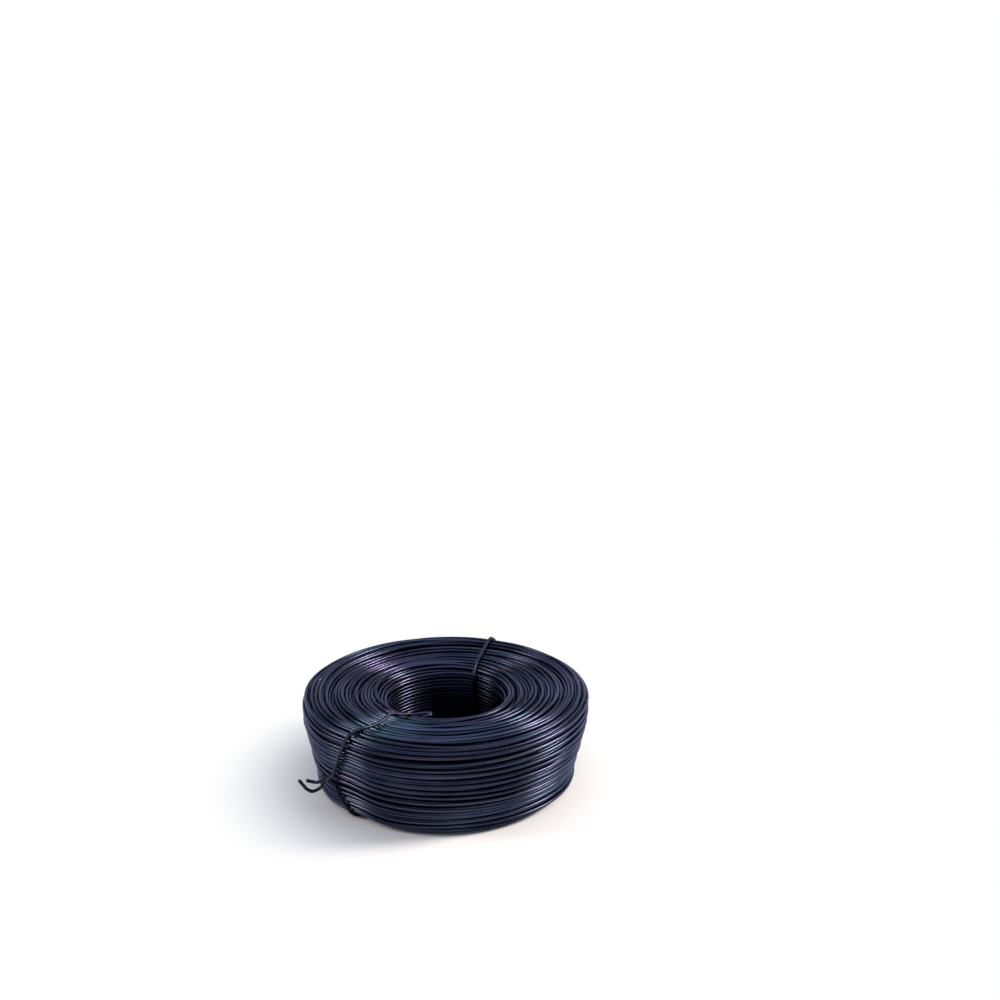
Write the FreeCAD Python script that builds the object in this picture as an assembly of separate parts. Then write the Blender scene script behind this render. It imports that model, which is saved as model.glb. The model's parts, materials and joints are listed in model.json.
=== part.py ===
"""A coil of black annealed binding wire, lying flat, held by two wire ties.

The winding is one turned solid with a plain bore. Its ends and its outer side are ridged: each
ridge is a bunch of turns, with the groove between two bunches beside it. Each tie is one bent
wire that goes once round the winding: bedded in the bore and under the coil, free over the top
and down the outer side, where its two ends meet and stand off.

Millimetres, +Z up. The origin is where the coil's axis meets the floor.
"""

import FreeCAD, Part
import math
import os

from FreeCAD import Vector

wire_diameter = 1.47
wire_sides = 8

# The winding, in section. The rim is where the top end meets the bore
outer_diameter = 130.0
bore_diameter = 52.0
height = 43.0
rim_drop = 1.8
foot_diameter = 117.0
shoulder_radius = 8.5
foot_corner_radius = 6.5
top_lip_radius = 6.0
bottom_lip_radius = 3.5

# The ridges that the bunched turns make
bunch_pitch = 5.3
bunch_height = 1.9
standing_ring_width = 1.2

# How the ties lie
tie_seat_gap = 0.3
tie_recess = 0.1
channel_clearance = 0.2
tie_bend = 3.0
tie_end_bend = 2.5
tie_end_spacing = 2.4

# Where each tie lies in the bore and under the coil, as an angle about the coil's axis. A tie
# slants over the top and down the side: its shoulder and its knot are turned from that angle by
# so many degrees. The knot is also given by its height and how far it stands off the side
front_tie_angle = 233.0
front_shoulder_turn = -2.0
front_knot = (-11.5, 18.0, 0.5)
back_tie_angle = 65.0
back_shoulder_turn = 3.0
back_knot = (4.0, 20.0, 0.4)

# The ends, as steps (outwards, along the side, up) from where they leave the knot
front_tail = [(1.6, -6.0, -0.4), (3.8, -6.5, -2.2)]
front_hook = [(1.4, -4.5, -2.0), (4.2, -3.2, -4.0), (5.0, -2.6, 5.5)]
back_tail = [(0.6, 9.0, 1.5)]
back_hook = [(0.6, 8.0, -2.0)]

wire_radius = wire_diameter / 2
AXIS = Vector(0, 0, 1)


def radial(angle):
    """A unit vector in the section's plane, which is Y = 0."""
    return Vector(math.cos(angle), 0, math.sin(angle))


def section_corners():
    """The four corner circles of the winding's section, clockwise from the bore's top lip."""
    bore_radius = bore_diameter / 2
    corners = [
        (bore_radius + top_lip_radius, height - rim_drop - top_lip_radius, top_lip_radius),
        (outer_diameter / 2 - shoulder_radius, height - shoulder_radius, shoulder_radius),
        (foot_diameter / 2 - foot_corner_radius, foot_corner_radius, foot_corner_radius),
        (bore_radius + bottom_lip_radius, bottom_lip_radius, bottom_lip_radius),
    ]
    return [(Vector(r, 0, z), radius) for r, z, radius in corners]


def side_normals(circles):
    """The outward normal's angle of the belt's run from each circle to the next.

    The run is the outer tangent of two circles, so its normal makes with the line of centres
    the angle whose cosine is the difference of the radii over the distance of the centres.
    """
    normals = []
    for (centre, radius), (next_centre, next_radius) in zip(circles, circles[1:] + circles[:1]):
        along = next_centre - centre
        opening = math.acos((radius - next_radius) / along.Length)
        normals.append(math.atan2(along.z, along.x) + opening)
    return normals


def section_outline():
    """A belt round the four corner circles, open along the bore: from its top to its foot."""
    circles = section_corners()
    normals = side_normals(circles)
    edges = []
    for index, (centre, radius) in enumerate(circles):
        first = centre + radial(normals[index - 1]) * radius
        last = centre + radial(normals[index]) * radius
        middle = centre + ((first + last) / 2 - centre).normalize() * radius
        if edges:
            edges.append(Part.LineSegment(run_start, first).toShape())
        edges.append(Part.Arc(first, middle, last).toShape())
        run_start = last
    return Part.Wire(edges)


def ridged_outline():
    """The section's outline with a ridge for every bunch of turns that its length holds.

    The crests lie on the outline and the grooves a ridge's height inside it. The ridge nearest
    to the middle of the underside has a flat crest, the ring that the coil stands on.
    """
    outline = section_outline()
    ridges = round(outline.Length / bunch_pitch)
    points = outline.discretize(Number=2 * ridges + 1)
    crests = range(1, 2 * ridges, 2)
    standing_radius = (bore_diameter + foot_diameter) / 4
    standing = min(crests, key=lambda i: abs(points[i].x - standing_radius) + height * points[i].z)
    corners = [points[0]]
    for index in range(1, 2 * ridges):
        along = (points[index + 1] - points[index - 1]).normalize()
        if index == standing:
            half = along * (standing_ring_width / 2)
            corners += [points[index] - half, points[index] + half]
        elif index in crests:
            corners.append(points[index])
        else:
            corners.append(points[index] + Vector(0, 1, 0).cross(along) * bunch_height)
    return corners + [points[-1], points[0]]


def meet(line, other):
    """Where two lines of the section's plane meet, each given as (normal's angle, distance)."""
    (a, p), (b, q) = line, other
    x = p * math.sin(b) - q * math.sin(a)
    z = q * math.cos(a) - p * math.cos(b)
    return Vector(x, 0, z) / math.sin(b - a)


def loop_corners(inset=0.0):
    """The corners of a tie's loop round the section, and its bends, clockwise from the bore's top.

    Over the top and the side it stands off by the seat gap. In the bore and under the coil its
    wire is sunk, with its near side just inside the surface. An inset draws the loop in.
    """
    circles = section_corners()
    proud = wire_radius + tie_seat_gap - inset
    sunk = -wire_radius - tie_recess - inset
    lines = []
    for (centre, radius), angle, offset in zip(circles, side_normals(circles), (proud, proud, sunk, sunk)):
        lines.append((angle, centre.dot(radial(angle)) + radius + offset))
    corners = [meet(lines[index - 1], lines[index]) for index in range(4)]
    bends = [tie_bend, shoulder_radius + wire_radius + tie_seat_gap, tie_bend, tie_bend]
    return corners, [bend - inset for bend in bends]


def bent_path(points, bends):
    """Straight runs through the points, joined at each inner point by a tangent arc."""
    edges, run_start = [], points[0]
    for before, corner, after, bend in zip(points, points[1:], points[2:], bends):
        back = (before - corner).normalize()
        ahead = (after - corner).normalize()
        half_angle = back.getAngle(ahead) / 2
        reach = bend / math.tan(half_angle)
        centre = corner + (back + ahead).normalize() * (bend / math.sin(half_angle))
        first, last = corner + back * reach, corner + ahead * reach
        middle = centre + (corner - centre).normalize() * bend
        edges.append(Part.LineSegment(run_start, first).toShape())
        edges.append(Part.Arc(first, middle, last).toShape())
        run_start = last
    edges.append(Part.LineSegment(run_start, points[-1]).toShape())
    return Part.Wire(edges)


def bent_wire(path):
    """The wire along a path, its section a regular polygon with the wire's diameter across corners."""
    start = path.Vertexes[0].Point
    ahead = path.Edges[0].tangentAt(path.Edges[0].FirstParameter)
    across = ahead.cross(AXIS).normalize() * wire_radius
    corners = []
    for side in range(wire_sides + 1):
        turn = FreeCAD.Rotation(ahead, 360.0 * side / wire_sides)
        corners.append(start + turn.multVec(across))
    return path.makePipeShell([Part.makePolygon(corners)], True, False)


def tie_end(start, steps):
    """The points of an end, from its tip to where it leaves the loop."""
    points = [start]
    for step in steps:
        points.append(points[-1] + Vector(*step))
    return points[::-1]


def turned(point, degrees):
    """The point turned about the coil's axis."""
    return FreeCAD.Rotation(AXIS, degrees).multVec(point)


def tie(angle, shoulder_turn, knot, tail, hook):
    """One tie: its tail, the loop from the knot over the top and back, and its hook."""
    knot_turn, up, off = knot
    (lip, shoulder, foot, inner_foot), (lip_bend, shoulder_bend, foot_bend, inner_bend) = loop_corners()
    side = (foot - shoulder).normalize()
    ends = []
    for rise, steps in ((tie_end_spacing / 2, tail), (-tie_end_spacing / 2, hook)):
        on_side = shoulder + side * ((up + rise - shoulder.z) / side.z)
        end = tie_end(on_side + Vector(off, 0, 0), steps)
        ends.append([turned(point, knot_turn) for point in end])
    loop = [turned(shoulder, shoulder_turn), lip, inner_foot, foot]
    points = ends[0] + loop + ends[1][::-1]
    bends = [tie_end_bend] * len(tail) + [shoulder_bend, lip_bend, inner_bend, foot_bend]
    bends += [tie_end_bend] * len(hook)
    path = bent_path(points, bends)
    solid = bent_wire(path)
    section = wire_sides / 2 * wire_radius**2 * math.sin(2 * math.pi / wire_sides)
    print("tie: wire", round(path.Length, 1), "mm, volume", round(solid.Volume, 1),
          "mm3, section times length", round(section * path.Length, 1), "mm3")
    solid.rotate(Vector(), AXIS, angle)
    return solid


def channel(angle):
    """What a tie has pressed aside in the bore and under the coil: a slot that its wire fits."""
    corners, bends = loop_corners(wire_radius + channel_clearance)
    middle = (corners[0] + corners[1]) / 2
    inside = bent_path([middle] + corners[1:] + [corners[0], middle], bends[1:] + bends[:1])
    width = wire_diameter + 2 * channel_clearance
    middle_of_slot = Vector(0, -width / 2, 0)
    inner_edge = bore_diameter / 4
    plate = Part.makeBox(outer_diameter / 2 + wire_diameter - inner_edge, width, height + 2 * wire_diameter)
    plate.translate(middle_of_slot + Vector(inner_edge, 0, -wire_diameter))
    core = Part.Face(inside).extrude(Vector(0, width, 0))
    core.translate(middle_of_slot)
    slot = plate.cut(core)
    slot.rotate(Vector(), AXIS, angle)
    return slot


def winding():
    """The turned solid, with the channels that the ties lie in."""
    outline = Part.Face(Part.makePolygon(ridged_outline()))
    solid = outline.revolve(Vector(), AXIS, 360)
    return solid.cut([channel(front_tie_angle), channel(back_tie_angle)])


nodes = {
    "wire_coil": winding(),
    "front_tie": tie(front_tie_angle, front_shoulder_turn, front_knot, front_tail, front_hook),
    "back_tie": tie(back_tie_angle, back_shoulder_turn, back_knot, back_tail, back_hook),
}
os.makedirs("parts", exist_ok=True)
for name, shape in nodes.items():
    print(name, len(shape.Solids), "solid, valid", shape.isValid(), round(shape.Volume / 1000, 2), "cm3")
    shape.exportStep("parts/" + name + ".step")
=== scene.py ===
"""Looks for a coil of black annealed binding wire, lying flat and held by two wire ties.

The coil is laid as it is wound: one wire, turn on turn, back and forth between the two ends of
the coil, each turn resting on the turns under it. The ties are drawn tight round that winding.

Lengths are worked out in millimetres and become metres when a mesh is made. The winding is
worked out in its section, where a place is a radius about the axis and a height off the floor.
"""

import json
import math

import bpy
import numpy as np
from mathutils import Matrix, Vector


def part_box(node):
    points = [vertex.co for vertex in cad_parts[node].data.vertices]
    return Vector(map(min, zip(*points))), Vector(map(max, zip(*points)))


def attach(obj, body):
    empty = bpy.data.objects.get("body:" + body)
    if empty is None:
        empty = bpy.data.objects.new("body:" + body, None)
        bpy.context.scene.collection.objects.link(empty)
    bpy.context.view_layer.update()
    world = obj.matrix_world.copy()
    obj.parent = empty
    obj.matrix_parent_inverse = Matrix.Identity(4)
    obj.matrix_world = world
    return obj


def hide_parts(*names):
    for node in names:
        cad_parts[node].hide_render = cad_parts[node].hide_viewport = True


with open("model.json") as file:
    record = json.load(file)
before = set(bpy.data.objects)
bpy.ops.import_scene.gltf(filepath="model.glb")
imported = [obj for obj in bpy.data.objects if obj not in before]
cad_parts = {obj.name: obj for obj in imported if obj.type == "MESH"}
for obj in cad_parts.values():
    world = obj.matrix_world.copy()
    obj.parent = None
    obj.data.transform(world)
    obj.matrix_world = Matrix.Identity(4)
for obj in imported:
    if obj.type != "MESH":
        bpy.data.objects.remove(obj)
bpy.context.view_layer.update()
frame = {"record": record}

bl_info = {
    "name": "Coil of binding wire",
    "version": (1, 0, 0),
    "blender": (4, 5, 0),
    "location": "3D View > Sidebar > Wire Coil",
    "description": "Winds a coil of annealed wire, ties it and sets it on a pale floor",
    "category": "Object",
}

MM = 0.001
COIL_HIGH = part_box("wire_coil")[1]
OUTER_RADIUS, HEIGHT = COIL_HIGH.x / MM, COIL_HIGH.z / MM
BORE = next(mount for mount in frame["record"]["mounts"] if mount["name"] == "bore")
BORE_RADIUS = BORE["dims"]["r_mm"]

# The radii of the section's corners: the bore's top, the shoulder, the foot, the bore's foot
TOP_LIP, SHOULDER, FOOT_CORNER, BOTTOM_LIP = 6.0, 8.5, 6.5, 3.5
# The bore's rim lies this much under the top, and the foot's radius is less by the taper
RIM_DROP, TAPER = 1.8, 6.5
# The winding's side is laid this much outside the CAD model's, as few turns reach it
SIDE_EXCESS = 0.24
# A point in the middle of the section, about which places on its outline are told
MIDDLE = (45.0, 21.0)

# The winding starts at this angle about the coil's axis and goes clockwise, seen from above
START_ANGLE = 222.0
STATIONS = 144
# The outer end of the wire, in degrees about the axis
OUTER_END = 62.0
# The inner end of the wire, from its tip to the bore's wall
INNER_END = [(-9.0, -24.0, 38.6), (-7.4, -23.8, 38.9), (-6.0, -22.8, 39.1), (-5.7, -21.4, 39.0),
             (-7.4, -20.3, 38.7), (-11.0, -20.1, 38.2), (-14.4, -20.4, 37.8), (-17.2, -20.2, 37.4)]
# Height at which the first turn starts
FIRST_HEIGHT = 37.4

# What the laying of the wire may take: turns in all, and bands that the height is parted in
MOST_TURNS, BANDS = 640, 12
# The coil's surface is told by its last turns, and the next layer lies this far off it, in mm
RECENT_TURNS, NEXT_LAYER = 20, 0.7
# Two turns that touch lie this many diameters apart, because wires never bed wholly
CONTACT = 1.06
# A turn's wander has a slow swing and a quick one. Their knots lie these parts of a turn apart,
# and the quick swing has this share. On the bore, wound tight, the wire strays only so much
SLOW_SWING, QUICK_SWING, QUICK_SHARE, BORE_STRAY = 0.41, 0.12, 0.35, 0.2
# A layer stops so far short of the section's end, in mm, and passes this share of its
# unevenness on to the next
END_GAP, END_CARRIED = 0.3, 0.45
# The spread of a layer's pitch, and how much wider its steps are for each mm that the coil is
# too full there, with the limits of that
PITCH_SPREAD, WIDENING, LEAST_WIDENING, MOST_WIDENING = 0.05, 0.25, -0.35, 0.6
# The slope under a turn is taken over this reach to either side, and it slides so far at most
SLOPE_REACH, MOST_SLIDE = 0.4, 0.55
# A tie lifts the lowest turns, presses the innermost outwards and pulls the outermost in, by
# so much, in mm, and over these half widths in degrees about the axis
TIE_LIFT, TIE_PRESS, PRESS_WIDTH = 1.5, 1.1, 12.0
TIE_PULL, PULL_WIDTH = 1.0, 9.0
# A turn that stands further out than this, in mm inside the side, is drawn in by this share
PROUD_MARGIN, PROUD_SHARE = 1.0, 0.55
# Stations between two looks at what is seen, and between two rings of the hidden wire
LOOK_EVERY, HIDDEN_STEP = 12, 4
# The coil's wire is parted in pieces of at most so many triangles
MOST_TRIANGLES = 190000

# Where the ties press on the winding, in degrees about its axis
TIE_ANGLES = (231.0, 66.0)
# Spacing of the points of a tie's loop, of its ends and of the whole, in mm
LOOP_SPACING, END_SPACING, TIE_SPACING = 0.4, 0.3, 0.35
# The loop stops so far from the middle of its knot, where the twist takes over
KNOT_GAP = 2.2
TIE_SIDES = 12
# How far a cut end bulges, as a share of the wire's radius
CAP_BULGE = 0.15

# A tie's way gives its angle about the axis against its place round the section, in degrees. The
# place is counted from the outer side over the top to the bore and under the coil. The knot is a
# height. The arch off the winding is a place, its half width in degrees and its height. The twist
# goes from where the loop's two ends meet to where it lets hook and tail go
FRONT_TIE = {
    "way": [(-90, 231), (-57, 228), (-50, 226.5), (-45, 224.8), (-40, 222.9), (-34, 221.5),
            (-25, 220.8), (-15, 220.9), (-4, 221.9), (8, 223.5), (20, 225.9), (35, 229.3),
            (46, 231.4), (56, 233.2), (66, 234.6), (76, 235.4), (105, 235.4), (115, 236.6),
            (122, 238.8), (130, 241.2), (136, 241.8), (160, 240.5), (180, 238.8), (222, 236),
            (270, 231)],
    "knot": 18.0,
    "arch": (105, 11, 1.9),
    "twist": [(-47.5, -41.4, 17.8), (-50.8, -38.5, 17.6)],
    "hook": [(-51.3, -37.9, 19.2), (-51.2, -37.9, 17.2), (-51.4, -37.4, 14.2),
             (-52.2, -37.3, 12.2), (-53.6, -37.5, 11.3), (-55.9, -38.3, 10.7),
             (-58.0, -39.0, 12.0), (-59.2, -39.3, 13.7), (-61.2, -39.7, 16.6)],
    "tail": [(-51.8, -37.0, 15.4), (-53.6, -35.8, 13.8), (-55.8, -34.8, 13.3),
             (-58.9, -34.6, 13.9)],
}
BACK_TIE = {
    "way": [(-90, 65), (-40, 66.5), (0, 68.3), (40, 70.2), (60, 70.5), (75, 69.9), (90, 69.1),
            (120, 66.3), (140, 63.3), (160, 63.3), (180, 63.8), (222, 64), (270, 65)],
    "knot": 20.0,
    "arch": None,
    "twist": [(23.6, 58.2, 20.2), (19.3, 59.9, 20.4)],
    "hook": [(17.4, 60.6, 21.4), (14.6, 61.3, 21.9), (12.2, 62.2, 21.2)],
    "tail": [(17.6, 60.4, 19.2), (15.2, 60.8, 17.8), (13.2, 61.3, 15.6)],
}

# The lamps: name, place and diameter in m, power in W. They are a little warm, the room cool
LAMPS = (
    ("key_lamp", (1.09, 0.1, 0.71), 0.45, 20.0),
    ("left_lamp", (-1.17, -0.1, 0.55), 0.5, 7.0),
    ("front_lamp", (0.3, -1.2, 0.4), 0.6, 0.3),
)
LAMP_AIM = (0.0, 0.0, 0.02)
LAMP_COLOUR, ROOM_COLOUR = (1.0, 0.89, 0.76), (0.8, 0.9, 1.12, 1.0)
WHITE = (1.0, 1.0, 1.0, 1.0)
FLOOR_REACH = 3.0

# The camera at the photograph's angle: place in m, degrees down from level, lens in mm
CAMERA_PLACE = (0.0243, -0.5418, 0.2796)
CAMERA_PITCH, CAMERA_LENS, CAMERA_SENSOR = 15.5, 46.908, 36.0

# The colour sockets of a Mix node: its two inputs and its output
MIX_A, MIX_B, MIX_COLOUR = 6, 7, 2


class WireCoilSizes(bpy.types.PropertyGroup):
    wire_diameter: bpy.props.FloatProperty(
        name="Wire diameter", description="Diameter of the wire, coil and ties alike, in mm",
        default=1.47, min=0.5, max=4.0)
    pitch: bpy.props.FloatProperty(
        name="Pitch", description="Mean step from one turn to the next along the coil, in mm",
        default=2.75, min=1.0, max=8.0)
    bore_pitch: bpy.props.FloatProperty(
        name="Bore pitch", description="Step of the innermost layer, which is wound tight, in mm",
        default=1.62, min=1.0, max=8.0)
    wander: bpy.props.FloatProperty(
        name="Wander", description="How far a turn strays along the coil, in mm",
        default=0.2, min=0.0, max=2.0)
    end_unevenness: bpy.props.FloatProperty(
        name="End unevenness", description="How unevenly the layers end at top and foot, in mm",
        default=0.5, min=0.0, max=3.0)
    settling: bpy.props.FloatProperty(
        name="Settling", description="Share by which a turn slides into the groove under it",
        default=0.45, min=0.0, max=1.0, subtype="FACTOR")
    stiffness: bpy.props.FloatProperty(
        name="Stiffness",
        description="How fast a turn may bend off a turn under it, in mm per station squared",
        default=0.004, min=0.0005, max=0.1)
    fill: bpy.props.FloatProperty(
        name="Fill", description="Share of the section at which the winding stops",
        default=1.005, min=0.3, max=1.1, subtype="FACTOR")
    seed: bpy.props.IntProperty(
        name="Seed", description="Seed of the winding's unevenness", default=5, min=0)
    sides: bpy.props.IntProperty(
        name="Sides", description="Sides of the wire's section", default=10, min=6, max=24)


class WireCoilColours(bpy.types.PropertyGroup):
    scale_dark: bpy.props.StringProperty(
        name="Dark scale", description="Thick annealing scale, sRGB hex", default="#1e2336")
    scale_light: bpy.props.StringProperty(
        name="Light scale", description="Thin annealing scale, sRGB hex", default="#4a4e64")
    # Painted shade: the near black laid on the deep walls of the bore, where little light gets in
    bore_shade: bpy.props.StringProperty(
        name="Bore scale", description="Dull scale deep in the bore, sRGB hex", default="#05070d")
    temper_teal: bpy.props.StringProperty(
        name="Teal temper", description="Temper colour where the scale is thinnest, sRGB hex",
        default="#36546c")
    temper_plum: bpy.props.StringProperty(
        name="Plum temper", description="Temper colour of hotter stretches, sRGB hex",
        default="#504664")
    temper_green: bpy.props.StringProperty(
        name="Green temper", description="The one blue-green bloom on the top end, sRGB hex",
        default="#648b99")
    tie: bpy.props.StringProperty(
        name="Tie", description="The ties' scale, a little greyer, sRGB hex", default="#3c3a43")
    floor: bpy.props.StringProperty(
        name="Floor", description="The pale floor, sRGB hex", default="#ffffff")


def linear(hex_colour):
    """An sRGB hex colour as linear RGBA, by the sRGB curve."""
    channels = np.array([int(hex_colour[i:i + 2], 16) / 255 for i in (1, 3, 5)])
    curved_part = ((channels + 0.055) / 1.055) ** 2.4
    return (*np.where(channels <= 0.04045, channels / 12.92, curved_part), 1.0)


def section_limits(wire):
    """The heights between which a wire's centre may lie, against its radius about the axis.

    The coil's section is a belt round four corner circles: for each direction in the section
    the circle that reaches furthest gives the point, drawn in by the wire's radius. The side is
    upright here, and gets its taper when the wire is laid.
    """
    side = OUTER_RADIUS + SIDE_EXCESS
    circles = np.array([
        (BORE_RADIUS + TOP_LIP, HEIGHT - RIM_DROP - TOP_LIP, TOP_LIP),
        (side - SHOULDER, HEIGHT - SHOULDER, SHOULDER),
        (side - FOOT_CORNER, FOOT_CORNER, FOOT_CORNER),
        (BORE_RADIUS + BOTTOM_LIP, BOTTOM_LIP, BOTTOM_LIP),
    ])
    turn = np.radians(np.arange(0, 360, 0.5))
    direction = np.stack([np.cos(turn), np.sin(turn)])
    reach = circles[:, :2] @ direction + circles[:, 2:] - wire / 2
    best = np.argmax(reach, axis=0)
    points = circles[best, :2] + (circles[best, 2:] - wire / 2) * direction.T
    count = len(points)
    outermost = np.argmax(points[:, 0])
    wall = np.flatnonzero(points[:, 0] < points[:, 0].min() + 1e-3)
    wall_top = wall[np.argmax(points[wall, 1])]
    wall_foot = wall[np.argmin(points[wall, 1])]
    up_to_wall = np.arange(outermost, outermost + (wall_top - outermost) % count + 1)
    from_wall = np.arange(wall_foot, wall_foot + (outermost - wall_foot) % count + 1)
    return points[up_to_wall % count][::-1], points[from_wall % count]


def tie_nearness(angle, width):
    """1 at a tie, falling off as a bell of that half width about the axis, in radians."""
    near = 0.0
    for tie in TIE_ANGLES:
        off = (angle - math.radians(tie) + math.pi) % (2 * math.pi) - math.pi
        near = near + np.exp(-((off / width) ** 2))
    return near


def station_angle(station):
    """The angle about the axis of a station along the wire, in radians."""
    return math.radians(START_ANGLE) - 2 * math.pi * station / STATIONS


def bell(reach):
    """Weights that reach so many places to either side, in a raised cosine, and add up to 1."""
    weights = np.hanning(2 * reach + 3)[1:-1]
    return weights / weights.sum()


def averaged(values, reach):
    """Values smoothed with a bell of that reach."""
    return np.convolve(np.pad(values, reach, mode="edge"), bell(reach), mode="valid")


def bridged(values, reach, bend):
    """The highest of the parabolas that hang from each value: bend times distance squared."""
    padded = np.pad(values, reach, mode="edge")
    windows = np.lib.stride_tricks.sliding_window_view(padded, 2 * reach + 1)
    return (windows - bend * np.arange(-reach, reach + 1) ** 2).max(axis=1)


def eased_noise(draws, count, step):
    """Random knots every so many stations, with an ease in and out between two knots."""
    knots = draws.normal(size=int(count / step) + 4)
    place = np.arange(count) / step
    knot = place.astype(int)
    share = place - knot
    share = share * share * (3 - 2 * share)
    return knots[knot] * (1 - share) + knots[knot + 1] * share


def traverse(start, end, step, middles, widen):
    """The heights of one layer at even steps of angle, from its start to its end.

    Each turn takes the step, times what its band of the height widens it by. The wire eases in
    and out over the third of a turn in which it turns back.
    """
    reach = np.linspace(start, end, 60)
    steps = step * np.interp(reach, middles, widen)
    turns = max(abs(end - start) * np.mean(1 / steps), 0.8)
    count = int(round(turns * STATIONS))
    share = (np.arange(count) + 1.0) / count
    ease = min(0.35 / turns, 0.45)
    speed = np.clip(np.minimum(share, 1 - share) / ease, 0.04, 1)
    speed = speed * np.interp(start + (end - start) * share, middles, widen)
    along = np.cumsum(speed)
    return start + (end - start) * along / along[-1]


def measure_surface(surface, radius, height, bands, wall):
    """Takes anew how far the given turns stand off the bore's wall, band by band.

    That is the 75th percentile of their radii, in each band with enough of them.
    """
    which = np.clip(np.digitize(height, bands) - 1, 0, BANDS - 1)
    for band in range(BANDS):
        there = radius[which == band]
        if len(there) > STATIONS // 4:
            surface[band] = np.percentile(there, 75) - wall


def lay_wire(sizes):
    """The wire's centre line as (radius, height) at even steps of angle, turn after turn.

    The height goes back and forth between the section's ends, one traverse a layer, with a
    smooth wander. The radius is the highest that any earlier turn within the contact distance
    allows: its own radius plus the root of that distance squared less the height between them
    squared. The first turns lie on the bore's wall and on its two lips. Each turn first slides
    a little way down the slope of that surface, and being stiff it spans what falls away too
    fast. A traverse takes larger steps where the coil is already fuller than the section asks,
    so the outside keeps its shape. Near a tie the lowest turns are lifted and the innermost
    pressed outwards, because the tie's wire lies there. At last the radii are drawn in towards
    the foot, in proportion, which gives the side its taper.
    """
    wire = sizes.wire_diameter
    contact = CONTACT * wire
    draws = np.random.default_rng(sizes.seed)
    upper, lower = section_limits(wire)
    wall, outer = upper[0, 0], upper[-1, 0]
    foot_lip, top_lip = np.argmin(lower[:, 1]), np.argmax(upper[:, 1])
    wall_radius, wall_height = np.concatenate([lower[foot_lip::-1], upper[:top_lip + 1]]).T
    total = MOST_TURNS * STATIONS
    near = tie_nearness(station_angle(np.arange(STATIONS)), math.radians(PRESS_WIDTH))
    slow_swing = eased_noise(draws, total, STATIONS * SLOW_SWING)
    quick_swing = eased_noise(draws, total, STATIONS * QUICK_SWING)
    wander = (slow_swing + QUICK_SHARE * quick_swing) * sizes.wander
    path, radius, height = np.zeros(total), np.zeros(total), np.zeros(total)
    bands = np.linspace(0, HEIGHT, BANDS + 1)
    middles = (bands[1:] + bands[:-1]) / 2
    room = outer - wall
    surface = np.zeros(BANDS)
    made = laid = layer = 0
    # The wire is laid a quarter turn at a time, with what its smoothing needs to either side
    stretch, soft, span = STATIONS // 4, 6, 30
    margin = 2 * soft + span
    recent = RECENT_TURNS * STATIONS
    start, rising = FIRST_HEIGHT, False
    top_noise = foot_noise = 0.0

    def resting(z, their_radius, their_height, close):
        """The least radius at each height that clears the earlier turns, the wall and a tie."""
        gap = contact ** 2 - (z[None, :] - their_height) ** 2
        over = np.where(gap > 0, their_radius + np.sqrt(np.maximum(gap, 0)), -np.inf)
        at_wall = np.interp(z, wall_height, wall_radius) + TIE_PRESS * close
        return np.maximum(over.max(axis=0), at_wall)

    while True:
        if laid > recent:
            last = slice(laid - recent, laid)
            measure_surface(surface, radius[last], height[last], bands, wall)
        progress = np.mean(surface[1:-1]) / room
        top_noise = END_CARRIED * top_noise + draws.normal() * sizes.end_unevenness
        foot_noise = END_CARRIED * foot_noise + draws.normal() * sizes.end_unevenness
        if progress > sizes.fill:
            break
        edge = min(wall + surface[-2 if rising else 1] + NEXT_LAYER, outer - 0.1)
        if rising:
            end = np.interp(edge, upper[:, 0], upper[:, 1]) - max(0.0, END_GAP + top_noise)
        else:
            end = np.interp(edge, lower[:, 0], lower[:, 1]) + max(0.0, END_GAP + foot_noise)
        step = sizes.pitch * (1 + PITCH_SPREAD * draws.normal())
        too_full = surface - room * progress
        widen = 1 + np.clip(WIDENING * too_full, LEAST_WIDENING, MOST_WIDENING)
        strays = 1.0
        if layer == 0:
            step, widen, strays = sizes.bore_pitch, np.ones(BANDS), BORE_STRAY
        heights = traverse(start, end, step, middles, widen)
        after = made + len(heights)
        path[made:after] = heights + wander[made:after] * strays
        made = after
        start, rising, layer = end, not rising, layer + 1
        while laid + stretch + margin <= made:
            first = max(laid - margin, 0)
            here = np.arange(first, laid + stretch + margin)
            turns_back = np.arange(1, here[-1] // STATIONS + 2)
            before = here[None, :] - STATIONS * turns_back[:, None]
            real = before >= 0
            before = np.where(real, before, 0)
            close = near[here % STATIONS]
            under = np.where(real, radius[before], -np.inf), height[before], close
            raised = path[here] + TIE_LIFT * close * (1 - path[here] / HEIGHT)
            # The first layers, on the bore's wall, keep their pitch
            if layer > 2:
                above = resting(raised + SLOPE_REACH, *under)
                below = resting(raised - SLOPE_REACH, *under)
                slope = (above - below) / (2 * SLOPE_REACH)
                slide = -np.clip(slope * sizes.settling, -MOST_SLIDE, MOST_SLIDE)
                raised = raised + averaged(slide, soft)
            raised = np.clip(raised, wire / 2, HEIGHT - wire / 2)
            wound = averaged(bridged(resting(raised, *under), span, sizes.stiffness), soft)
            keep = slice(laid - first, laid - first + stretch)
            height[laid:laid + stretch] = raised[keep]
            radius[laid:laid + stretch] = wound[keep]
            laid += stretch
    whole = laid // STATIONS * STATIONS
    radius, height = radius[:whole], height[:whole]
    # The outermost turns are drawn in, so that none stands far proud of the rest
    radius = radius - PROUD_SHARE * np.maximum(radius - (outer - PROUD_MARGIN), 0)
    side = np.interp(height, (FOOT_CORNER, HEIGHT - SHOULDER), (outer - TAPER, outer))
    return wall + (radius - wall) * (side - wall) / (outer - wall), height


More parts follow.
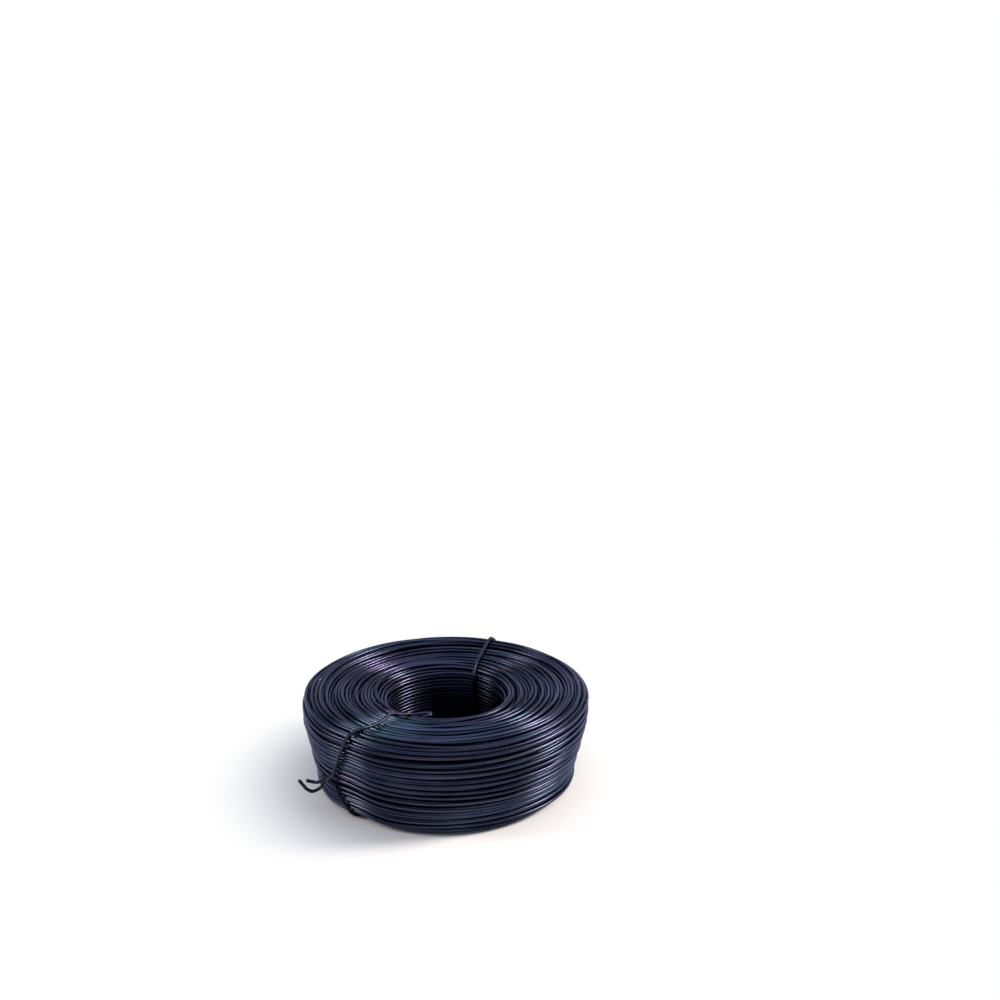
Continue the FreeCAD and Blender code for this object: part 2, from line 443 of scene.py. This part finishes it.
def tied_winding(sizes):
    """The winding as laid, then pulled in by its ties, with the square of how far out it lies."""
    radius, height = lay_wire(sizes)
    near = tie_nearness(station_angle(np.arange(len(radius))), math.radians(PULL_WIDTH))
    depth = np.clip((radius - BORE_RADIUS) / (OUTER_RADIUS - BORE_RADIUS), 0, 1)
    return radius - TIE_PULL * near * depth ** 2, height


def seen_turns(radius, height, wire):
    """Which turns can be seen from outside the section, at every twelfth station.

    A turn is seen if a ray in its section meets no other turn: from its middle and from about
    half way to either side, in 24 directions. It meets those whose middle is more than 0.3 of a
    wire ahead and less than 0.48 of a wire aside.
    """
    turns = len(radius) // STATIONS
    seen = np.zeros((turns, STATIONS // LOOK_EVERY), bool)
    angles = np.radians(np.arange(0, 360, 15))
    directions = np.stack([np.cos(angles), np.sin(angles)], axis=1)
    for column in range(STATIONS // LOOK_EVERY):
        at = column * LOOK_EVERY + STATIONS * np.arange(turns)
        centre = np.stack([radius[at], height[at]], axis=1)
        apart = centre[None, :, :] - centre[:, None, :]
        for direction in directions:
            ahead = apart @ direction
            aside = apart @ np.array([-direction[1], direction[0]])
            for offset in (-0.55, 0.0, 0.55):
                in_line = np.abs(aside - offset * wire / 2) < 0.48 * wire
                seen[:, column] |= ~((ahead > 0.3 * wire) & in_line).any(axis=1)
    return seen


def run_along(line):
    """The length along a line up to each of its points."""
    steps = np.linalg.norm(np.diff(line, axis=0), axis=1)
    return np.concatenate([[0.0], np.cumsum(steps)])


def resampled(line, spacing):
    """The line through the same points at even spacing, by its length."""
    run = run_along(line)
    places = np.linspace(0, run[-1], max(int(round(run[-1] / spacing)), 2) + 1)
    axes = range(line.shape[1])
    return np.stack([np.interp(places, run, line[:, axis]) for axis in axes], axis=1)


def softened(line, reach):
    """The line smoothed with a bell of that reach in points, its two ends kept."""
    before = 2 * line[0] - line[reach:0:-1]
    after = 2 * line[-1] - line[-2:-reach - 2:-1]
    padded = np.concatenate([before, line, after])
    weights = bell(reach)
    axes = range(line.shape[1])
    return np.stack([np.convolve(padded[:, axis], weights, mode="valid") for axis in axes], axis=1)


def curved(points, spacing):
    """A smooth line through the points: between two of them a cubic whose slope at each is that
    from the point before it to the point after it."""
    points = np.asarray(points, float)
    slopes = np.gradient(points, axis=0)
    share = np.linspace(0, 1, 17)[None, :-1, None]
    a, b = points[:-1, None, :], points[1:, None, :]
    u, v = slopes[:-1, None, :], slopes[1:, None, :]
    line = ((2 * share**3 - 3 * share**2 + 1) * a + (share**3 - 2 * share**2 + share) * u
            + (3 * share**2 - 2 * share**3) * b + (share**3 - share**2) * v)
    return resampled(np.concatenate([line.reshape(-1, 3), points[-1:]]), spacing)


def coil_line(radius, height, wire):
    """The coil's wire as points, a direction across it at each, and which points to keep.

    The inner end leads from its tip to the first station, and the last turn stops at the back.
    A station is kept if its turn is seen near it, or if it is one of every fourth.
    """
    station = np.arange(len(radius))
    angle = station_angle(station)
    outwards = np.stack([np.cos(angle), np.sin(angle), np.zeros(len(angle))], axis=1)
    line = outwards * radius[:, None]
    line[:, 2] = height
    seen = np.repeat(seen_turns(radius, height, wire).ravel(), LOOK_EVERY)
    seen = np.convolve(seen, np.ones(2 * LOOK_EVERY + 1), mode="same") > 0.5
    last = len(radius) - STATIONS + round((START_ANGLE - OUTER_END) / 360 * STATIONS)
    wanted = seen | (station % HIDDEN_STEP == 0) | (station == last)
    lead = curved([*INNER_END, *line[[0, 3]]], 0.5)
    lead = lead[:np.argmin(np.linalg.norm(lead - line[0], axis=1))]
    lead_across = parallel_frames(lead[::-1], outwards[0])[::-1]
    keep = np.flatnonzero(wanted & (station <= last)) + len(lead)
    return (np.concatenate([lead, line]), np.concatenate([lead_across, outwards]),
            np.concatenate([np.arange(len(lead)), keep]))


def section_place(points):
    """Where points of the section lie round its middle, in degrees from the outer side."""
    return np.degrees(np.arctan2(points[:, 1] - MIDDLE[1], points[:, 0] - MIDDLE[0]))


def tie_loop(radius, height, wire, way, knot, arch):
    """A tie drawn tight round the winding, from above the knot over the top and back below it.

    For each direction in the section, the tie's centre is a wire's diameter beyond the turn
    that reaches furthest, which is a taut loop. Each point is then turned about the axis to
    its own angle, and pushed out wherever it would still touch a turn there. An arch lifts it
    by a bell about its place.
    """
    turns = len(radius) // STATIONS
    by_station = np.stack([radius.reshape(turns, STATIONS), height.reshape(turns, STATIONS)])
    places, angles = np.array(way, float).T

    def angle_at(points):
        place = section_place(points)
        return np.radians(np.interp(np.where(place < -90, place + 360, place), places, angles))

    def turns_at(points):
        turned = (math.radians(START_ANGLE) - angle_at(points)) / (2 * math.pi)
        return by_station[:, :, np.round(turned * STATIONS).astype(int) % STATIONS]

    facing = np.radians(np.arange(-90, 270, 0.5))
    normal = np.stack([np.cos(facing), np.sin(facing)], axis=1)
    # A circle of 20 mm tells the first time which turns each point meets
    loop = np.array(MIDDLE) + 20 * normal
    for _ in range(3):
        centres = turns_at(loop)
        best = np.argmax(centres[0] * normal[:, 0] + centres[1] * normal[:, 1], axis=0)
        loop = centres[:, best, np.arange(len(facing))].T + wire * normal
    loop = resampled(np.concatenate([loop, loop[:1]]), LOOP_SPACING)[:-1]
    side = np.flatnonzero(loop[:, 0] > MIDDLE[0] + 5)
    opening = side[np.argmin(np.abs(loop[side, 1] - knot))]
    loop = np.roll(loop, -opening, axis=0)
    for _ in range(4):
        loop = softened(np.concatenate([loop[-8:], loop, loop[:8]]), 4)[8:-8]
        apart = loop.T[:, None, :] - turns_at(loop)
        distance = np.linalg.norm(apart, axis=0)
        closest = np.argmin(distance, axis=0), np.arange(len(loop))
        away = apart[:, *closest] / distance[closest]
        loop = loop + (away * np.maximum(wire - distance[closest], 0)).T
    loop[:, 1] = np.maximum(loop[:, 1], wire / 2)
    if arch:
        place, half_width, rise = arch
        off = (section_place(loop) - place + 180) % 360 - 180
        facing = np.radians(off + place)
        outwards = np.stack([np.cos(facing), np.sin(facing)], axis=1)
        loop = loop + rise * np.exp(-((off / half_width) ** 2))[:, None] * outwards
    angle = angle_at(loop)
    line = np.stack([loop[:, 0] * np.cos(angle), loop[:, 0] * np.sin(angle), loop[:, 1]], axis=1)
    gap = int(KNOT_GAP / LOOP_SPACING)
    return line[gap:-gap]


def twisted_pair(start, end, wire):
    """Two strands wound once round the line from start to end, 0.06 mm clear of each other.

    They are the line's points plus and minus one step square to the line, which turns with it.
    """
    start, end = np.array(start, float), np.array(end, float)
    axis = (end - start) / np.linalg.norm(end - start)
    up = np.array([0, 0, 1.0]) - axis[2] * axis
    up /= np.linalg.norm(up)
    out = np.cross(axis, up)
    if out.dot(start * [1, 1, 0]) < 0:
        out = -out
    share = np.linspace(0, 1, 25)[:, None]
    turn = 2 * math.pi * share
    offset = (wire / 2 + 0.03) * (up * np.cos(turn) + out * np.sin(turn))
    middle = start + (end - start) * share
    return middle + offset, middle - offset


def tie_line(radius, height, wire, way, knot, arch, twist, hook, tail):
    """The whole of a tie: hook, one strand of the twist, the loop, the other strand, tail."""
    loop = tie_loop(radius, height, wire, way, knot, arch)
    upper, lower = twisted_pair(*twist, wire)
    hook_line = curved([upper[-1], *hook], END_SPACING)[::-1]
    tail_line = curved([lower[-1], *tail], END_SPACING)
    whole = np.concatenate([hook_line, upper[::-1], loop, lower, tail_line])
    return softened(resampled(whole, TIE_SPACING), 3)


def tube(path, radius, across, sides):
    """A tube along a path: each ring is the path's point plus the radius times a circle.

    The circle is spanned by the given direction, made square to the path, and by the cross
    product of the path's direction with it. The two ends are closed with a rounded cap.
    """
    ahead = np.gradient(path, axis=0)
    ahead /= np.linalg.norm(ahead, axis=1, keepdims=True)
    side = across - np.sum(across * ahead, axis=1, keepdims=True) * ahead
    side /= np.linalg.norm(side, axis=1, keepdims=True)
    other = np.cross(ahead, side)
    turn = (2 * math.pi * np.arange(sides) / sides)[None, :, None]
    ring = side[:, None, :] * np.cos(turn) + other[:, None, :] * np.sin(turn)
    points = path[:, None, :] + radius * ring
    bulge = radius * CAP_BULGE
    ends = np.stack([path[0] - ahead[0] * bulge, path[-1] + ahead[-1] * bulge])
    vertices = np.concatenate([points.reshape(-1, 3), ends])
    rim = np.arange(sides)
    after = (rim + 1) % sides
    rows = np.arange(len(path) - 1)[:, None] * sides
    first, second = rows + rim, rows + after
    quads = np.stack([first, second, second + sides, first + sides], axis=-1).reshape(-1, 4)
    start_tip, base = len(path) * sides, (len(path) - 1) * sides
    start_cap = np.stack([np.full(sides, start_tip), after, rim], axis=-1)
    end_cap = np.stack([np.full(sides, start_tip + 1), base + rim, base + after], axis=-1)
    return vertices, quads, np.concatenate([start_cap, end_cap])


def parallel_frames(path, first_across):
    """A direction square to the path all along it, turned only as much as the path bends."""
    ahead = np.gradient(path, axis=0)
    ahead /= np.linalg.norm(ahead, axis=1, keepdims=True)
    across = np.empty_like(path)
    carried = np.array(first_across, float)
    for index, forward in enumerate(ahead):
        carried = carried - carried.dot(forward) * forward
        carried /= np.linalg.norm(carried)
        across[index] = carried
    return across


def make_wire(name, line, across, along, wire, sides, material, replaced):
    """A piece of wire as a smooth shaded tube, which knows the length along and the way around."""
    vertices, quads, triangles = tube(line, wire / 2, across, sides)
    mesh = bpy.data.meshes.new(name)
    loops = np.concatenate([quads.ravel(), triangles.ravel()]).astype(np.int32)
    corners = np.repeat([4, 3], [len(quads), len(triangles)])
    mesh.vertices.add(len(vertices))
    mesh.vertices.foreach_set("co", (vertices * MM).astype(np.float32).ravel())
    mesh.loops.add(len(loops))
    mesh.loops.foreach_set("vertex_index", loops)
    mesh.polygons.add(len(corners))
    mesh.polygons.foreach_set("loop_start", (np.cumsum(corners) - corners).astype(np.int32))
    mesh.polygons.foreach_set("use_smooth", np.ones(len(corners), bool))
    mesh.update(calc_edges=True)
    around = np.tile(np.arange(sides) / sides, len(along))
    for attribute, values, tips in (("along", np.repeat(along, sides), [along[0], along[-1]]),
                                    ("around", around, [0.0, 0.0])):
        values = np.concatenate([values, tips]).astype(np.float32)
        mesh.attributes.new(attribute, "FLOAT", "POINT").data.foreach_set("value", values)
    mesh.materials.append(material)
    piece = bpy.data.objects.new(name, mesh)
    bpy.context.scene.collection.objects.link(piece)
    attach(piece, "root")
    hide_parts(replaced)


def add_node(tree, kind, settings=None, links=None):
    """Adds a node, sets its options and inputs, and joins outputs to its inputs.

    A setting is an option by its name, or an input by its name or number. A link is an input by
    its name or number, with the output that feeds it.
    """
    node = tree.nodes.new(kind)
    for key, value in (settings or {}).items():
        if isinstance(key, str) and hasattr(node, key):
            setattr(node, key, value)
        else:
            node.inputs[key].default_value = value
    for key, source in (links or {}).items():
        tree.links.new(source, node.inputs[key])
    return node


def emptied_tree(owner):
    """The node tree of a new material or world, without the nodes that it comes with."""
    owner.use_nodes = True
    owner.node_tree.nodes.clear()
    return owner.node_tree


def annealed_steel(name, dark, light, teal, plum, green, bore, roughness):
    """Black annealed steel: drawn wire, softened in a furnace, under a thin oxide scale.

    The eye gets a near black, half glossy metal that mirrors pale surroundings along each turn,
    blue-violet on the whole. Each turn has its own shade, and some turns have patches of teal
    and plum temper colour. Down in the bore, except on its left wall, the colour is darkened
    towards near black as painted shade. Sizes of patterns are in metres.
    """
    material = bpy.data.materials.new(name)
    tree = emptied_tree(material)
    place = add_node(tree, "ShaderNodeTexCoord").outputs["Object"]
    along = add_node(tree, "ShaderNodeAttribute", {"attribute_name": "along"}).outputs["Fac"]
    around = add_node(tree, "ShaderNodeAttribute", {"attribute_name": "around"}).outputs["Fac"]
    # Each turn has its own shade: the scale changes every 0.15 m of wire or so
    stretch = add_node(tree, "ShaderNodeTexNoise",
                       {"noise_dimensions": "1D", "Scale": 6.5, "Detail": 2.0}, {"W": along})
    # Cloudy scale, patches of about 15 mm
    cloud = add_node(tree, "ShaderNodeTexNoise", {"Scale": 65.0, "Detail": 3.0}, {"Vector": place})
    shade = add_node(tree, "ShaderNodeMath", {"operation": "MULTIPLY_ADD", 1: 0.5},
                     {0: cloud.outputs["Fac"], 2: stretch.outputs["Fac"]})
    tone = add_node(tree, "ShaderNodeMapRange", {"From Min": 0.52, "From Max": 0.98},
                    {"Value": shade.outputs[0]})
    base = add_node(tree, "ShaderNodeMix",
                    {"data_type": "RGBA", MIX_A: linear(dark), MIX_B: linear(light)},
                    {"Factor": tone.outputs[0]})
    # Temper colours change from turn to turn, every 0.2 m of wire, and gather in places of 40 mm
    hue_place = add_node(tree, "ShaderNodeMath", {"operation": "ADD", 1: 40.0}, {0: along})
    hue = add_node(tree, "ShaderNodeTexNoise",
                   {"noise_dimensions": "1D", "Scale": 5.0, "Detail": 1.0},
                   {"W": hue_place.outputs[0]})
    gather = add_node(tree, "ShaderNodeTexNoise", {"Scale": 25.0, "Detail": 1.0}, {"Vector": place})
    mingled = add_node(tree, "ShaderNodeMath", {"operation": "MULTIPLY_ADD", 1: 0.8},
                       {0: gather.outputs["Fac"], 2: hue.outputs["Fac"]})
    cool = add_node(tree, "ShaderNodeMapRange", {"From Min": 1.0, "From Max": 1.25, "To Max": 0.45},
                    {"Value": mingled.outputs[0]})
    warm = add_node(tree, "ShaderNodeMapRange", {"From Min": 0.82, "From Max": 0.6, "To Max": 0.6},
                    {"Value": mingled.outputs[0]})
    # One blue-green bloom, 40 mm across, lies on the top end beside the front tie, turn by turn
    from_bloom = add_node(tree, "ShaderNodeVectorMath",
                          {"operation": "DISTANCE", 1: (-0.024, -0.038, 0.042)}, {0: place})
    bloom = add_node(tree, "ShaderNodeMapRange", {"From Min": 0.02, "From Max": 0.006},
                     {"Value": from_bloom.outputs["Value"]})
    turn_share = add_node(tree, "ShaderNodeMapRange",
                          {"From Min": 0.35, "From Max": 0.65, "To Min": 0.1, "To Max": 0.65},
                          {"Value": hue.outputs["Fac"]})
    bloomed = add_node(tree, "ShaderNodeMath", {"operation": "MULTIPLY"},
                       {0: bloom.outputs[0], 1: turn_share.outputs[0]})
    # Painted shade: down in the bore, where little light gets in, the colour is darkened towards
    # near black. It is darkened less on the bore's left wall, where the lamp's reflection shows
    axes = add_node(tree, "ShaderNodeSeparateXYZ", links={"Vector": place})
    level = add_node(tree, "ShaderNodeVectorMath",
                     {"operation": "MULTIPLY", 1: (1.0, 1.0, 0.0)}, {0: place})
    from_axis = add_node(tree, "ShaderNodeVectorMath", {"operation": "LENGTH"},
                         {0: level.outputs[0]})
    inner = add_node(tree, "ShaderNodeMapRange",
                     {"From Min": 0.0305, "From Max": 0.0275, "To Max": 0.95},
                     {"Value": from_axis.outputs["Value"]})
    deep = add_node(tree, "ShaderNodeMapRange", {"From Min": 0.039, "From Max": 0.025},
                    {"Value": axes.outputs["Z"]})
    not_left = add_node(tree, "ShaderNodeMapRange",
                        {"From Min": -0.018, "From Max": -0.006, "To Min": 0.3},
                        {"Value": axes.outputs["X"]})
    deep_inner = add_node(tree, "ShaderNodeMath", {"operation": "MULTIPLY"},
                          {0: inner.outputs[0], 1: deep.outputs[0]})
    painted_shade_share = add_node(tree, "ShaderNodeMath", {"operation": "MULTIPLY"},
                      {0: deep_inner.outputs[0], 1: not_left.outputs[0]})
    colour = base.outputs[MIX_COLOUR]
    # bore is the colour of the painted shade down in the bore
    for share, tint in ((cool, teal), (warm, plum), (bloomed, green), (painted_shade_share, bore)):
        mix = add_node(tree, "ShaderNodeMix", {"data_type": "RGBA", MIX_B: linear(tint)},
                       {"Factor": share.outputs[0], MIX_A: colour})
        colour = mix.outputs[MIX_COLOUR]
    # Fine lines from the drawing die run along the wire. They are drawn as coarse as they need
    # to show, about 12 round it
    across = add_node(tree, "ShaderNodeMath", {"operation": "MULTIPLY", 1: 12.0}, {0: around})
    lines = add_node(tree, "ShaderNodeCombineXYZ", links={"X": across.outputs[0], "Y": along})
    drawn = add_node(tree, "ShaderNodeTexNoise", {"Scale": 6.0, "Detail": 2.0},
                     {"Vector": lines.outputs[0]})
    rough = add_node(tree, "ShaderNodeMapRange",
                     {"To Min": roughness - 0.08, "To Max": roughness + 0.1},
                     {"Value": drawn.outputs["Fac"]})
    bump = add_node(tree, "ShaderNodeBump", {"Strength": 0.12, "Distance": 0.00004},
                    {"Height": drawn.outputs["Fac"]})
    # The scale keeps its blue at a glancing angle, where bare steel would turn white
    shader = add_node(tree, "ShaderNodeBsdfPrincipled",
                      {"Metallic": 1.0, "Specular Tint": (0.7, 0.74, 0.92, 1.0)},
                      {"Base Color": colour, "Roughness": rough.outputs[0],
                       "Normal": bump.outputs[0]})
    add_node(tree, "ShaderNodeOutputMaterial", links={"Surface": shader.outputs[0]})
    return material


def shown_rays(tree):
    """1 for the rays that show a background: to the camera, and in a mirror or through glass."""
    ray = add_node(tree, "ShaderNodeLightPath").outputs
    mirrored = add_node(tree, "ShaderNodeMath", {"operation": "MAXIMUM"},
                        {0: ray["Is Glossy Ray"], 1: ray["Is Transmission Ray"]})
    return ray["Is Camera Ray"], mirrored.outputs[0]


def pale_floor(colour):
    """Matt painted board: it takes the coil's shadow, and further off is plain white to the eye."""
    material = bpy.data.materials.new("matt_white_board")
    tree = emptied_tree(material)
    camera, mirrored = shown_rays(tree)
    seen = add_node(tree, "ShaderNodeMath", {"operation": "MAXIMUM"}, {0: camera, 1: mirrored})
    place = add_node(tree, "ShaderNodeTexCoord").outputs["Object"]
    distance = add_node(tree, "ShaderNodeVectorMath", {"operation": "LENGTH"}, {0: place})
    # The shadow fades out between 0.062 m and 0.11 m from the coil's axis
    away = add_node(tree, "ShaderNodeMapRange",
                    {"interpolation_type": "SMOOTHSTEP", "From Min": 0.062, "From Max": 0.11},
                    {"Value": distance.outputs["Value"]})
    share = add_node(tree, "ShaderNodeMath", {"operation": "MULTIPLY"},
                     {0: away.outputs[0], 1: seen.outputs[0]})
    board = add_node(tree, "ShaderNodeBsdfPrincipled",
                     {"Base Color": linear(colour), "Roughness": 0.9, "Specular IOR Level": 0.1})
    plain = add_node(tree, "ShaderNodeEmission", {"Color": WHITE, "Strength": 1.0})
    mix = add_node(tree, "ShaderNodeMixShader",
                   links={0: share.outputs[0], 1: board.outputs[0], 2: plain.outputs[0]})
    add_node(tree, "ShaderNodeOutputMaterial", links={"Surface": mix.outputs[0]})
    return material


def studio_world():
    """A cool room, dim to the sides and lit from above, with a white backdrop behind the coil."""
    world = bpy.data.worlds.new("studio")
    tree = emptied_tree(world)
    camera, mirrored = shown_rays(tree)
    facing = add_node(tree, "ShaderNodeTexCoord").outputs["Generated"]
    axes = add_node(tree, "ShaderNodeSeparateXYZ", links={"Vector": facing})
    # As metal mirrors it, the backdrop fades out from 20 to 33 degrees above the floor
    behind = add_node(tree, "ShaderNodeMapRange",
                      {"interpolation_type": "SMOOTHSTEP", "From Min": 0.3, "From Max": 0.7},
                      {"Value": axes.outputs["Y"]})
    low = add_node(tree, "ShaderNodeMapRange",
                   {"interpolation_type": "SMOOTHSTEP", "From Min": 0.54, "From Max": 0.34},
                   {"Value": axes.outputs["Z"]})
    backdrop = add_node(tree, "ShaderNodeMath", {"operation": "MULTIPLY"},
                        {0: behind.outputs[0], 1: low.outputs[0]})
    reflected = add_node(tree, "ShaderNodeMath", {"operation": "MULTIPLY"},
                         {0: backdrop.outputs[0], 1: mirrored})
    shown = add_node(tree, "ShaderNodeMath", {"operation": "MAXIMUM"},
                     {0: camera, 1: reflected.outputs[0]})
    overhead = add_node(tree, "ShaderNodeMapRange",
                        {"interpolation_type": "SMOOTHSTEP", "From Min": 0.4, "From Max": 0.95,
                         "To Min": 0.1, "To Max": 0.9},
                        {"Value": axes.outputs["Z"]})
    room = add_node(tree, "ShaderNodeBackground", {"Color": ROOM_COLOUR},
                    {"Strength": overhead.outputs[0]})
    white = add_node(tree, "ShaderNodeBackground", {"Color": WHITE, "Strength": 1.0})
    mix = add_node(tree, "ShaderNodeMixShader",
                   links={0: shown.outputs[0], 1: room.outputs[0], 2: white.outputs[0]})
    add_node(tree, "ShaderNodeOutputWorld", links={"Surface": mix.outputs[0]})
    return world


class WIRECOIL_OT_wind(bpy.types.Operator):
    """Winds the coil and makes its wire, in stretches"""
    bl_idname = "wirecoil.wind"
    bl_label = "Wind the coil"

    def execute(self, context):
        sizes, colours = context.scene.wire_coil_sizes, context.scene.wire_coil_colours
        wire = sizes.wire_diameter
        radius, height = tied_winding(sizes)
        line, across, keep = coil_line(radius, height, wire)
        along = run_along(line) * MM
        print(f"coil: {len(radius) // STATIONS} turns, {along[-1]:.1f} m of wire")
        material = annealed_steel("black_annealed_steel", colours.scale_dark, colours.scale_light,
                                  colours.temper_teal, colours.temper_plum, colours.temper_green,
                                  colours.bore_shade, 0.27)
        pieces = math.ceil(len(keep) * sizes.sides * 2 / MOST_TRIANGLES)
        cuts = np.linspace(0, len(keep) - 1, pieces + 1).astype(int)
        for number, (first, last) in enumerate(zip(cuts[:-1], cuts[1:]), 1):
            part = keep[first:last + 1]
            make_wire(f"wound_wire_{number}", line[part], across[part], along[part], wire,
                      sizes.sides, material, "wire_coil")
        return {"FINISHED"}


class WIRECOIL_OT_tie(bpy.types.Operator):
    """Draws the two ties tight round the winding"""
    bl_idname = "wirecoil.tie"
    bl_label = "Tie the coil"

    def execute(self, context):
        sizes, colours = context.scene.wire_coil_sizes, context.scene.wire_coil_colours
        wire = sizes.wire_diameter
        radius, height = tied_winding(sizes)
        # The ties' scale is greyer and a little rougher, and has no temper colours. Down in the
        # bore they take the same painted shade as the coil
        material = annealed_steel("annealed_tie_wire", colours.scale_dark, colours.tie,
                                  colours.tie, colours.scale_dark, colours.tie,
                                  colours.bore_shade, 0.4)
        for node, course in (("front_tie", FRONT_TIE), ("back_tie", BACK_TIE)):
            line = tie_line(radius, height, wire, **course)
            across = parallel_frames(line, (0.3, 0.2, 1.0))
            make_wire(node + "_wire", line, across, run_along(line) * MM, wire,
                      TIE_SIDES, material, node)
        return {"FINISHED"}


class WIRECOIL_OT_stage(bpy.types.Operator):
    """Makes the floor, the lamps, the surroundings and the camera"""
    bl_idname = "wirecoil.stage"
    bl_label = "Set the stage"

    def execute(self, context):
        scene = context.scene
        mesh = bpy.data.meshes.new("floor")
        corners = [(-1, -1, 0), (1, -1, 0), (1, 1, 0), (-1, 1, 0)]
        mesh.from_pydata((np.array(corners) * FLOOR_REACH).tolist(), [], [(0, 1, 2, 3)])
        mesh.materials.append(pale_floor(scene.wire_coil_colours.floor))
        floor = bpy.data.objects.new("floor", mesh)
        scene.collection.objects.link(floor)

        for name, place, diameter, power in LAMPS:
            lamp = bpy.data.lights.new(name, "AREA")
            lamp.shape = "DISK"
            lamp.size = diameter
            lamp.energy = power
            lamp.color = LAMP_COLOUR
            holder = bpy.data.objects.new(name, lamp)
            scene.collection.objects.link(holder)
            holder.location = place
            holder.rotation_mode = "QUATERNION"
            aim = Vector(np.subtract(LAMP_AIM, place))
            holder.rotation_quaternion = aim.to_track_quat("-Z", "Y")

        scene.world = studio_world()

        view = bpy.data.cameras.new("camera")
        view.sensor_width = CAMERA_SENSOR
        view.lens = CAMERA_LENS
        view.clip_start, view.clip_end = 0.01, 20.0
        camera = bpy.data.objects.new("camera", view)
        scene.collection.objects.link(camera)
        camera.location = CAMERA_PLACE
        camera.rotation_euler = (math.radians(90 - CAMERA_PITCH), 0.0, 0.0)
        scene.camera = camera
        scene.view_settings.view_transform = "Standard"
        return {"FINISHED"}


class WIRECOIL_PT_panel(bpy.types.Panel):
    """The coil's sizes, colours and making"""
    bl_idname = "WIRECOIL_PT_panel"
    bl_label = "Wire Coil"
    bl_space_type = "VIEW_3D"
    bl_region_type = "UI"
    bl_category = "Wire Coil"

    def draw(self, context):
        for group in (context.scene.wire_coil_sizes, context.scene.wire_coil_colours):
            for name in group.__annotations__:
                self.layout.prop(group, name)
        for operator in OPERATORS:
            self.layout.operator(operator.bl_idname)


OPERATORS = (WIRECOIL_OT_wind, WIRECOIL_OT_tie, WIRECOIL_OT_stage)
CLASSES = (WireCoilSizes, WireCoilColours, *OPERATORS, WIRECOIL_PT_panel)


def register():
    for item in CLASSES:
        bpy.utils.register_class(item)
    bpy.types.Scene.wire_coil_sizes = bpy.props.PointerProperty(type=WireCoilSizes)
    bpy.types.Scene.wire_coil_colours = bpy.props.PointerProperty(type=WireCoilColours)


def unregister():
    del bpy.types.Scene.wire_coil_colours
    del bpy.types.Scene.wire_coil_sizes
    for item in reversed(CLASSES):
        bpy.utils.unregister_class(item)


def main():
    register()
    bpy.ops.wirecoil.wind()
    bpy.ops.wirecoil.tie()
    bpy.ops.wirecoil.stage()


if __name__ == "__main__":
    main()
